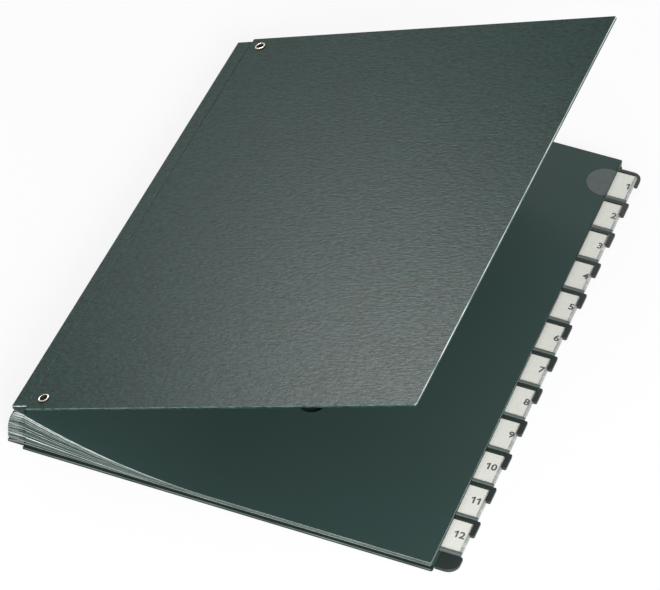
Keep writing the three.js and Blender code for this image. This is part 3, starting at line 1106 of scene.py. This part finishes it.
@dataclass
class LeafStack:
    """Thirteen card leaves that fan out of the spine and lie flat at the fore edge."""

    book: Book
    palette: Palette
    count: int = 13
    thickness: float = 0.2
    gap: float = 0.04
    inset: float = 1.8
    corner: float = 0.8
    fall: float = 120.0
    ridge_x: float = 11.6
    lowest_rise: float = 1.6
    top_drop: float = 1.9
    lean: float = 4.4
    nose: float = 0.3
    entry_share: float = 0.84
    top_entry: float = 0.4
    hole_radius: float = 8.0
    hole_x: float = 145.5
    hole_inset: float = 87.0
    ear_reach: float = 10.8
    ear_thickness: float = 2.1
    ear_rise: float = 0.3
    ear_inset: float = 2.4
    ear_gap: float = 0.15
    edge_tones: tuple[int, ...] = (1, 1, 2, 0, 1, 2, 1, 1, 2, 1, 1, 0, 0)
    fray: float = 1.3
    fray_share: float = 0.56
    fray_depth: float = 0.25

    @property
    def fold_gap(self) -> float:
        """Height of the lowest leaf above the table."""
        return self.book.board + 0.06

    def fore_height(self, n: int) -> float:
        """Underside of leaf n at the fore edge."""
        return self.fold_gap + (self.thickness + self.gap) * n

    def height(self, n: int, x: np.ndarray, y: np.ndarray) -> np.ndarray:
        """Underside of leaf n: its fore height + its rise times the square of the share still to fall.

        The share is 1 - x / fall, never below 0, and the rise grows evenly from the lowest leaf to
        the top one, which ends just under the hinge line.
        """
        full = (1 - self.ridge_x / self.fall) ** 2
        highest = (self.book.hinge_height(y) - self.top_drop - self.fore_height(self.count - 1)) / full
        rise = self.lowest_rise + (highest - self.lowest_rise) * n / (self.count - 1)
        return self.fore_height(n) + rise * np.maximum(0, 1 - x / self.fall) ** 2

    def root_height(self, m: int, y: np.ndarray) -> np.ndarray:
        """Middle of leaf m where it enters the spine."""
        return self.height(m, np.full_like(y, self.ridge_x), y) + self.thickness / 2

    def outer_fold(self, m: int, y: np.ndarray) -> tuple[float, np.ndarray]:
        """The fold behind leaf m: level with its root, leaning in towards the top."""
        x = self.nose + self.lean * (m / (self.count - 1)) ** 3
        return x, self.root_height(m, y) if m else np.full_like(y, self.fold_gap + 0.1)

    def start(self, n: int, y: np.ndarray) -> tuple[float, np.ndarray]:
        """Where leaf n ends inside its pleat."""
        root = self.height(n, np.full_like(y, self.ridge_x), y)
        if n == self.count - 1:
            return self.ridge_x - self.top_entry, root
        x, z = self.outer_fold(n, y)
        low = z - self.thickness / 2
        return x + (self.ridge_x - x) * self.entry_share, low + (root - low) * self.entry_share

    def sheet(self, n: int, trim_near: float, trim_far: float) -> Shell:
        """Leaf n as a sheet on a grid of reach u and length v.

        x follows u, closer together near the spine and round the fore corners. y = near + v (far
        - near), where near and far draw in along a quarter circle over the corner's radius.

        Args:
            n: the leaf's number from the bottom.
            trim_near: how far short of the common near line it is cut.
            trim_far: how far short of the common far line it is cut.

        Returns:
            The closed sheet.
        """
        r = self.corner
        fall = self.ridge_x + (self.fall - self.ridge_x) * np.linspace(0, 1, 40) ** 1.3
        flat = np.linspace(self.fall, self.book.fore_edge - r, 14)[1:]
        turn = self.book.fore_edge - r + r * np.sin(np.linspace(0, math.pi / 2, 7))[1:]
        x_all = np.concatenate([fall, flat, turn])
        drawn = r - np.sqrt(np.maximum(0, r * r - np.maximum(0, x_all - (self.book.fore_edge - r)) ** 2))
        near = self.inset + trim_near + np.minimum(drawn, r * 0.98)
        far = self.book.cover_length - self.inset - trim_far - np.minimum(drawn, r * 0.98)
        v = np.linspace(0, 1, 25)[:, None]
        y = near + v * (far - near)
        x = np.broadcast_to(x_all, y.shape)
        z = self.height(n, x, y)
        first_x, first_z = self.start(n, y[:, 0])
        x = np.concatenate([np.full((len(y), 1), first_x), x], 1)
        z = np.concatenate([first_z[:, None], z], 1)
        y = np.concatenate([y[:, :1], y], 1)
        lower = np.stack([x, y, z], -1)
        return sheet_shell(lower, lower + np.array([0, 0, self.thickness]))

    def band(self, x: np.ndarray, top: np.ndarray, bottom: np.ndarray, y: float) -> Shell:
        """A thin upright band: depth from y inwards, between a top and a bottom line over x.

        Args:
            x: places along the band.
            top: heights of its upper edge.
            bottom: heights of its lower edge.
            y: its near face.

        Returns:
            The closed band.
        """
        near, far = np.full_like(x, y), np.full_like(x, y + self.fray_depth)
        rows = [(near, bottom), (far, bottom), (far, top), (near, top)]
        return tube_shell(np.stack([np.stack([x, *row], -1) for row in rows], 1))

    def fibres(self, trims: np.ndarray) -> None:
        """The soft cut fibres along the near edges of the leaves and of the folds that hold them.

        Below each leaf a band hangs into the fan, as high as a share of the free height over the
        next leaf. At the spine the same band runs back to the outer fold and closes in a round.

        Args:
            trims: how far short of the common near line each leaf is cut.
        """
        shell = Shell()
        for n in range(self.count):
            x = self.ridge_x + (self.fall - self.ridge_x) * np.linspace(0.0, 0.9, 40)
            y = np.full_like(x, self.inset + trims[n])
            under = self.height(n, x, y)
            below = self.height(n - 1, x, y) if n else np.full_like(x, self.book.board)
            free = np.maximum(0.0, under - below - self.thickness - self.gap)
            drop = np.minimum(self.fray, free * self.fray_share)
            out = self.band(x, under + self.thickness * 0.9, under - drop, self.inset + trims[n] + 0.03)
            shell.join(out, self.edge_tones[n])
            start, fold = self.outer_fold(n, y[:1])
            share = np.linspace(0, 1, 12)
            back = start + 0.1 + (self.ridge_x - start - 0.1) * share
            lean = fold[0] + (under[0] + self.thickness / 2 - fold[0]) * share
            half = (drop[0] + self.thickness) / 2 * np.sqrt(1 - (1 - share) ** 4)
            centre = lean - drop[0] / 2
            end = self.band(back, centre + half, centre - half, self.book.strip_inset - self.fray_depth)
            shell.join(end, self.edge_tones[n])
        piece = shell.build("cut_edge_fibres", self.book.flat, self.palette.leaf_edges, 50)
        finish_piece(piece, Body.ROOT, Slot.LEAF)

    def ear(self, tab: int) -> np.ndarray:
        """Outline of the ear of a tab's leaf, between the label's ends."""
        (_, near, _), (_, far, _) = self.book.box(f"label_{tab:02d}")
        start = self.book.fore_edge
        return rounded_outline(start + 0.002, near, start + self.ear_reach, far, [0.05] * 4, 2)

    def build(self) -> None:
        """Makes the end leaf with its thick ear, and the twelve tab leaves with their viewing holes."""
        spread = np.random.default_rng(7).uniform(0.0, 0.35, (self.count, 2))
        length = self.book.cover_length
        spots = [(self.hole_x, y) for y in (self.hole_inset, length - self.hole_inset)]
        for n in range(self.count):
            tab = self.count - n
            shell = self.sheet(n, *spread[n])
            edge = self.palette.leaf_edges[self.edge_tones[n]]
            if n:
                shell.join(self.thin(self.ear(tab), n, 0.002, 0.02))
            name = f"card_leaf_{tab:02d}" if n else "plain_end_leaf"
            piece = shell.build(name, self.book.flat, [self.palette.leaf, edge, self.palette.ear], 30)
            drill(piece, self.book.flat, spots, self.hole_radius, -1, 40)
            finish_piece(piece, Body.ROOT, Slot.LEAF, f"leaf_{tab:02d}" if n else "end_leaf")
        self.fibres(spread[:, 0])
        self.end_ear()

    def thin(self, outline: np.ndarray, n: int, skin: float, edge: float) -> Shell:
        """A flat piece of leaf n's card, a skin thinner on both faces."""
        z = self.fore_height(n)
        return board_shell(outline, z + skin, z + self.thickness - skin, edge, 2)

    def end_ear(self) -> None:
        """The thick black ear of the end leaf: rounded near corner and softened edges."""
        b, p = self.book, self.palette
        low, high = b.box("end_leaf")
        far = b.box("tab_holder_12")[0][1] - self.ear_gap
        z1 = self.fore_height(0) + self.thickness + self.ear_rise
        z0 = max(low[2], z1 - self.ear_thickness)
        radii = [0.6, 7.0, 1.2, 0.6]
        outline = rounded_outline(b.cover_reach + 0.25, self.ear_inset, high[0], far, radii, 12)
        ear = board_shell(outline, z0, z1, 0.45, 5).build("end_leaf_ear", b.flat, [p.ear] * 2)
        finish_piece(ear, Body.ROOT, Slot.LEAF)
        x0, x1 = b.fore_edge - 1.0, b.cover_reach + 1.4
        link = rounded_outline(x0, self.ear_inset + 0.6, x1, far - 0.6, [0.3] * 4, 3)
        made = self.thin(link, 0, 0.005, 0.03).build("end_leaf_tongue", b.flat, [p.leaf] * 2)
        finish_piece(made, Body.ROOT, Slot.LEAF)


@dataclass
class PleatedSpine:
    """The folded card that joins the leaves: one zigzag sheet with soft folds."""

    book: Book
    palette: Palette
    leaves: LeafStack
    thickness: float = 0.2
    flange: float = 24.0
    clearance: float = 0.45
    fold_radius: float = 0.5
    hole: float = 2.45

    def centre_line(self, y: np.ndarray) -> np.ndarray:
        """The zigzag's middle line at each y, with each fold rounded.

        Every corner is replaced by two points at the fold radius along its two panels, and the
        corners of that line are then cut twice, at a quarter and three quarters of each side.

        Args:
            y: places along the spine.

        Returns:
            An array of len(y) lines of points in x and z.
        """
        L = self.leaves
        half = self.thickness / 2
        folds = [(np.full_like(y, self.flange), np.full_like(y, L.fold_gap + half))]
        for m in range(L.count - 1):
            x, z = L.outer_fold(m, y)
            folds.append((np.full_like(y, x), z))
            ridge = (L.root_height(m, y) + L.root_height(m + 1, y)) / 2
            folds.append((np.full_like(y, L.ridge_x), ridge))
        last = self.book.hinge_height(y) - self.clearance - half
        folds.append((np.full_like(y, self.book.hinge_x + self.clearance), last))
        corner = np.stack([np.stack(f, -1) for f in folds], 1)
        before, here, after = corner[:, :-2], corner[:, 1:-1], corner[:, 2:]
        back, ahead = (
            here + (to - here) / np.linalg.norm(to - here, axis=-1, keepdims=True) * self.fold_radius
            for to in (before, after)
        )
        middle = np.stack([back, here, ahead], 2).reshape(len(y), -1, 2)
        line = np.concatenate([corner[:, :1], middle, corner[:, -1:]], 1)
        for _ in range(2):
            first, second = line[:, :-1], line[:, 1:]
            cut = np.stack([0.75 * first + 0.25 * second, 0.25 * first + 0.75 * second], 2)
            line = np.concatenate([line[:, :1], cut.reshape(len(y), -1, 2), line[:, -1:]], 1)
        return line

    def build(self) -> None:
        """Thickens the line on both sides of its normal and carries it along the spine."""
        b = self.book
        y = np.linspace(b.strip_inset, b.cover_length - b.strip_inset, 33)
        line = self.centre_line(y)
        tangent = np.gradient(line, axis=1)
        tangent /= np.maximum(1e-9, np.linalg.norm(tangent, axis=-1, keepdims=True))
        normal = np.stack([-tangent[..., 1], tangent[..., 0]], -1) * (self.thickness / 2)
        along = np.broadcast_to(y[:, None], line.shape[:2])

        def grid(points: np.ndarray) -> np.ndarray:
            """Puts y between x and z."""
            return np.stack([points[..., 0], along, points[..., 1]], -1)

        shell = sheet_shell(grid(line - normal), grid(line + normal))
        shell.faces = [face[::-1] for face in shell.faces]
        piece = shell.build("pleated_card", b.flat, [self.palette.pleat, self.palette.pleat_edge], 50)
        drill(piece, b.flat, b.eyelet_spots, self.hole, 0.5, self.leaves.fold_gap + 0.6)
        finish_piece(piece, Body.ROOT, Slot.SPINE, "pleated_spine")


@dataclass
class IndexTabs:
    """Twelve moulded holders, each with a numbered card label under a clear window."""

    book: Book
    palette: Palette
    count: int = 12
    digit_height: float = 4.8
    weight: float = 0.024
    single_from_edge: float = 9.7
    double_from_edge: float = 7.2
    bar_width: float = 2.3
    tail_width: float = 3.3
    rim_width: float = 2.3
    hook_length: float = 8.3
    first_corner: float = 5.2
    other_corner: float = 1.0
    first_taper: float = 1.1
    rim_crown: float = 0.75
    hook_edge: float = 0.34
    overlap: float = 0.4
    jaw_start: float = 2.6
    jaw: float = 0.5
    lift: float = 0.05
    digit_gap: float = 0.2
    ink: float = 0.04

    def build(self) -> None:
        """Dresses the holders, labels and windows, and prints the numbers."""
        for tab in range(1, self.count + 1):
            self.holder(tab)
            self.label(tab)
            self.window(tab)
            self.number(tab)

    def rim(self, x: np.ndarray, y: float, low: float, high: float) -> Shell:
        """A holder's near rim: a bar along x with a crowned top.

        The section, from u = -1 to 1 across the width, has height high - crown |u|^3 on top, closed
        by upright sides down to low.

        Args:
            x: places along the rim.
            y: its middle line.
            low: underside.
            high: top of the crown.

        Returns:
            The closed bar.
        """
        u = np.concatenate([[-1.0], np.linspace(-1, 1, 9), [1.0]])
        top = high - self.rim_crown * np.abs(u) ** 3
        top[0] = top[-1] = low
        across = y + u * self.rim_width / 2
        shell = tube_shell(np.stack(np.broadcast_arrays(x[:, None], across[None], top[None]), -1))
        shell.faces = [face[::-1] for face in shell.faces]
        return shell

    def holder(self, tab: int) -> None:
        """One moulded holder: near rim, far bar running into its tapered hook, floor and jaw.

        Args:
            tab: the tab's number.
        """
        b = self.book
        (x0, y0, z0), (x1, y1, z1) = b.box(f"tab_holder_{tab:02d}")
        (_, near, seat), (end, far, _) = b.box(f"label_{tab:02d}")
        first = tab == 1
        outer = self.first_corner if first else self.other_corner
        inner = max(0.7, outer - 2.6)
        x_tail = x1 - self.tail_width + (self.first_taper if first else 0.0)
        y_bar, y_tail = y1 - self.bar_width, far - self.hook_length
        corners = [(x0, y_bar), (x_tail, y_bar), (x_tail, y_tail), (x1 - 0.1, y_tail), (x1, y1), (x0, y1)]
        plan = soft_corners(np.array(corners), [0.5, inner, 0.55, 0.9, outer, 0.5])
        rim_x = np.linspace(x0, b.box(f"label_window_{tab:02d}")[1][0] - 0.1, 6)
        rim = self.rim(rim_x, y0 + self.rim_width / 2, z0 + self.lift, z1 - self.lift)
        floor_plan = rounded_outline(x0, near - self.overlap, end, far + self.overlap, [0.1] * 4, 3)
        jaw_plan = rounded_outline(x0 + self.jaw_start, y0, end, y1 - self.overlap, [0.5] * 4, 4)
        joined = Shell()
        joined.join(board_shell(plan, z0 + self.lift, z1, self.hook_edge, 5))
        joined.join(rim, 1)
        joined.join(board_shell(floor_plan, seat - 0.41, seat - 0.06, 0.05, 2))
        joined.join(board_shell(jaw_plan, z0, z0 + self.jaw, 0.1, 2))
        # Material 1, on the near rims, is the lighter copy of the moulding: painted highlight.
        materials = [self.palette.tab, self.palette.rim]
        made = joined.build(f"moulded_holder_{tab:02d}", b.flat, materials, 35)
        finish_piece(made, Body.ROOT, Slot.TAB, f"tab_holder_{tab:02d}")

    def label(self, tab: int) -> None:
        """A tab's card label."""
        low, high = self.book.box(f"label_{tab:02d}")
        outline = rounded_outline(low[0], low[1], high[0], high[1], [0.15] * 4, 3)
        shell = board_shell(outline, low[2], high[2], 0.03, 2)
        made = shell.build(f"paper_label_{tab:02d}", self.book.flat, [self.palette.label] * 2)
        finish_piece(made, Body.ROOT, Slot.LABEL, f"label_{tab:02d}")

    def window(self, tab: int) -> None:
        """A tab's clear window: clear over the label, milky where its rim stands past it."""
        low, high = self.book.box(f"label_window_{tab:02d}")
        end = self.book.box(f"label_{tab:02d}")[1][0] + 0.05
        clear = rounded_outline(low[0], low[1], end, high[1], [0.1] * 4, 2)
        rim = rounded_outline(end, low[1], high[0], high[1], [0.1, 0.3, 0.3, 0.1], 3)
        shell = board_shell(clear, low[2], high[2], 0.02, 2)
        shell.numbers = [0] * len(shell.numbers)
        shell.join(board_shell(rim, low[2], high[2], 0.02, 2), 1)
        materials = [self.palette.film, self.palette.film_rim]
        made = shell.build(f"clear_window_{tab:02d}", self.book.flat, materials)
        finish_piece(made, Body.ROOT, Slot.WINDOW, f"label_window_{tab:02d}")

    def glyph(self, digit: str) -> tuple[np.ndarray, list[list[int]]]:
        """One digit, one unit high, as a prism from 0 to 1: a stem with a flag, or a letter form.

        Args:
            digit: the character.

        Returns:
            Points with the lower left corner at the origin, and faces.
        """
        if digit == "1":
            right = [(0.24, 0), (0.43, 0), (0.43, 1), (0.29, 1)]
            ring = np.array([*right, (0.0, 0.79), (0.0, 0.6), (0.24, 0.74)])
            stem = prism_shell(ring, 0, 1)
            return stem.points[0], stem.faces
        curve = bpy.data.curves.new("digit", "FONT")
        curve.body = digit
        curve.offset = self.weight
        curve.extrude = 0.5
        curve.resolution_u = 6
        text = bpy.data.objects.new("digit", curve)
        bpy.context.scene.collection.objects.link(text)
        bpy.context.view_layer.update()
        mesh = bpy.data.meshes.new_from_object(text)
        bpy.data.objects.remove(text)
        points = np.zeros(len(mesh.vertices) * 3)
        mesh.vertices.foreach_get("co", points)
        points = points.reshape(-1, 3)
        points -= points.min(0)
        size = points[:, 1].max()
        points *= np.array([1 / size, 1 / size, 1.0])
        faces = [list(face.vertices) for face in mesh.polygons]
        bpy.data.meshes.remove(mesh)
        return points, faces

    def number(self, tab: int) -> None:
        """Prints a tab's number on its label, as raised ink read from the near side.

        Args:
            tab: the number.
        """
        parts = [self.glyph(digit) for digit in str(tab)]
        total = sum(points[:, 0].max() for points, _ in parts) + self.digit_gap * (len(parts) - 1)
        low, high = self.book.box(f"label_{tab:02d}")
        reach = self.single_from_edge if tab < 10 else self.double_from_edge
        spot = np.array([low[0] - 0.4 + reach, (low[1] + high[1]) / 2 + 0.8, high[2] + 0.01])
        scale = np.array([self.digit_height, self.digit_height, self.ink])
        shell = Shell()
        start = -total / 2
        for points, faces in parts:
            shell.add((points + np.array([start, -0.5, 0.0])) * scale + spot, faces)
            start += points[:, 0].max() + self.digit_gap
        piece = shell.build(f"label_number_{tab:02d}", self.book.flat, [self.palette.ink])
        finish_piece(piece, Body.ROOT, Slot.LABEL)


# The studio


def stand(thing: Piece, axes: Sequence[np.ndarray], spot: Sequence[float]) -> None:
    """Puts an object at a spot, turned to its three axes, and adds it to the scene."""
    rows = [(*(axis[i] for axis in axes), spot[i]) for i in range(3)]
    thing.matrix_world = Matrix([*rows, (0, 0, 0, 1)])
    bpy.context.scene.collection.objects.link(thing)


@dataclass
class Studio:
    """Camera, floor, light and background."""

    spot: tuple[float, float, float] = (0.5224, -1.4425, 1.5930)
    azimuth: float = 20.104
    elevation: float = 45.998
    roll: float = 1.097
    lens: float = 212.62
    daylight: float = 0.52
    key_power: float = 33.0
    sheen_power: float = 21.0
    floor_glow: float = 0.86

    def build(self) -> None:
        """Sets the whole studio."""
        self.camera()
        self.background()
        self.floor()
        self.lamp("key_softbox", (0.9, -1.2, 0.75), (0.0, 0.0, 0.02), 1.0, self.key_power)
        sheen = self.lamp("sheen_softbox", (-1.22, 1.12, 0.96), (0.0, 0.0, 0.07), 0.3, self.sheen_power)
        sheen.visible_diffuse = False
        bpy.context.scene.view_settings.view_transform = "Standard"

    def camera(self) -> None:
        """Puts the camera where the photograph was taken from: back, right and up from its angles."""
        azimuth, elevation, roll = (math.radians(a) for a in (self.azimuth, self.elevation, self.roll))
        back = np.array([
            math.sin(azimuth) * math.cos(elevation),
            -math.cos(azimuth) * math.cos(elevation),
            math.sin(elevation),
        ])
        right = np.array([math.cos(azimuth), math.sin(azimuth), 0.0])
        up = np.cross(back, right)
        turned = math.cos(roll) * right + math.sin(roll) * up
        raised = -math.sin(roll) * right + math.cos(roll) * up
        data = bpy.data.cameras.new("camera")
        data.lens = self.lens
        data.sensor_width = 36.0
        data.clip_start = 0.05
        camera = bpy.data.objects.new("camera", data)
        stand(camera, (turned, raised, back), self.spot)
        bpy.context.scene.camera = camera

    def background(self) -> None:
        """White where the camera or a gloss sees it, and a plain soft light on everything else."""
        world = bpy.data.worlds.new("studio")
        wired = Wiring(world)
        seen, through, gloss = wired.rays("Camera", "Transmission", "Glossy")
        for more in (through, gloss):
            seen = wired.value("ShaderNodeMath", 0, {"operation": "MAXIMUM"}, i0=seen, i1=more)
        soft = wired.value("ShaderNodeBackground", Color=WHITE, Strength=self.daylight)
        white = wired.value("ShaderNodeBackground", Color=WHITE)
        mixed = wired.value("ShaderNodeMixShader", i0=seen, i1=soft, i2=white)
        wired.node("ShaderNodeOutputWorld", Surface=mixed)
        bpy.context.scene.world = world

    def floor(self) -> None:
        """A wide pale floor with a soft white finish, which keeps the sorter's shadow."""
        mesh = bpy.data.meshes.new("floor")
        corners = [(x, y, -0.0002) for x, y in ((-6, -6), (6, -6), (6, 6), (-6, 6))]
        mesh.from_pydata(corners, [], [(0, 1, 2, 3)])
        wired = Finish("floor_paper")
        tone = wired.noise(wired.place(), 30.0, 2.0, 0.5)
        pale = wired.blend(tone, (0.96, 0.96, 0.96), WHITE[:3])
        matt = {"Roughness": 0.9, "Specular_IOR_Level": 0.0}
        paper = wired.value("ShaderNodeBsdfPrincipled", Base_Color=pale, **matt)
        camera, gloss = wired.rays("Camera", "Glossy")
        white = wired.value("ShaderNodeEmission", Color=WHITE, Strength=1.0)
        glow = (camera + gloss) * self.floor_glow
        mesh.materials.append(wired.end(wired.value("ShaderNodeMixShader", i0=glow, i1=paper, i2=white)))
        floor = bpy.data.objects.new("floor", mesh)
        bpy.context.scene.collection.objects.link(floor)

    @staticmethod
    def lamp(name: str, spot: Sequence[float], aim: Sequence[float], size: float, power: float) -> Piece:
        """A square softbox that looks at a point.

        Args:
            name: the lamp's name.
            spot: where it stands.
            aim: the point that it looks at.
            size: its side in metres.
            power: its power in watts.

        Returns:
            The lamp.
        """
        data = bpy.data.lights.new(name, "AREA")
        data.shape = "SQUARE"
        data.size = size
        data.energy = power
        lamp = bpy.data.objects.new(name, data)
        lamp.visible_camera = False
        back = np.array(spot, float) - np.array(aim, float)
        back /= np.linalg.norm(back)
        right = np.cross([0.0, 0.0, 1.0], back)
        right /= np.linalg.norm(right)
        up = np.cross(back, right)
        stand(lamp, (right, up, back), spot)
        return lamp


def main() -> None:
    """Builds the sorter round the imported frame, then the studio."""
    logging.basicConfig(level=logging.INFO, format="%(message)s")
    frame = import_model()
    book = Book(frame)
    palette = Palette(float(book.flat.origin[0]) + book.fore_edge * MM)
    Covers(book, palette).build()
    leaves = LeafStack(book, palette)
    leaves.build()
    PleatedSpine(book, palette, leaves).build()
    IndexTabs(book, palette).build()
    dress(frame["nodes"]["round_spot"], palette.spot)
    Studio().build()


if __name__ == "__main__":
    main()
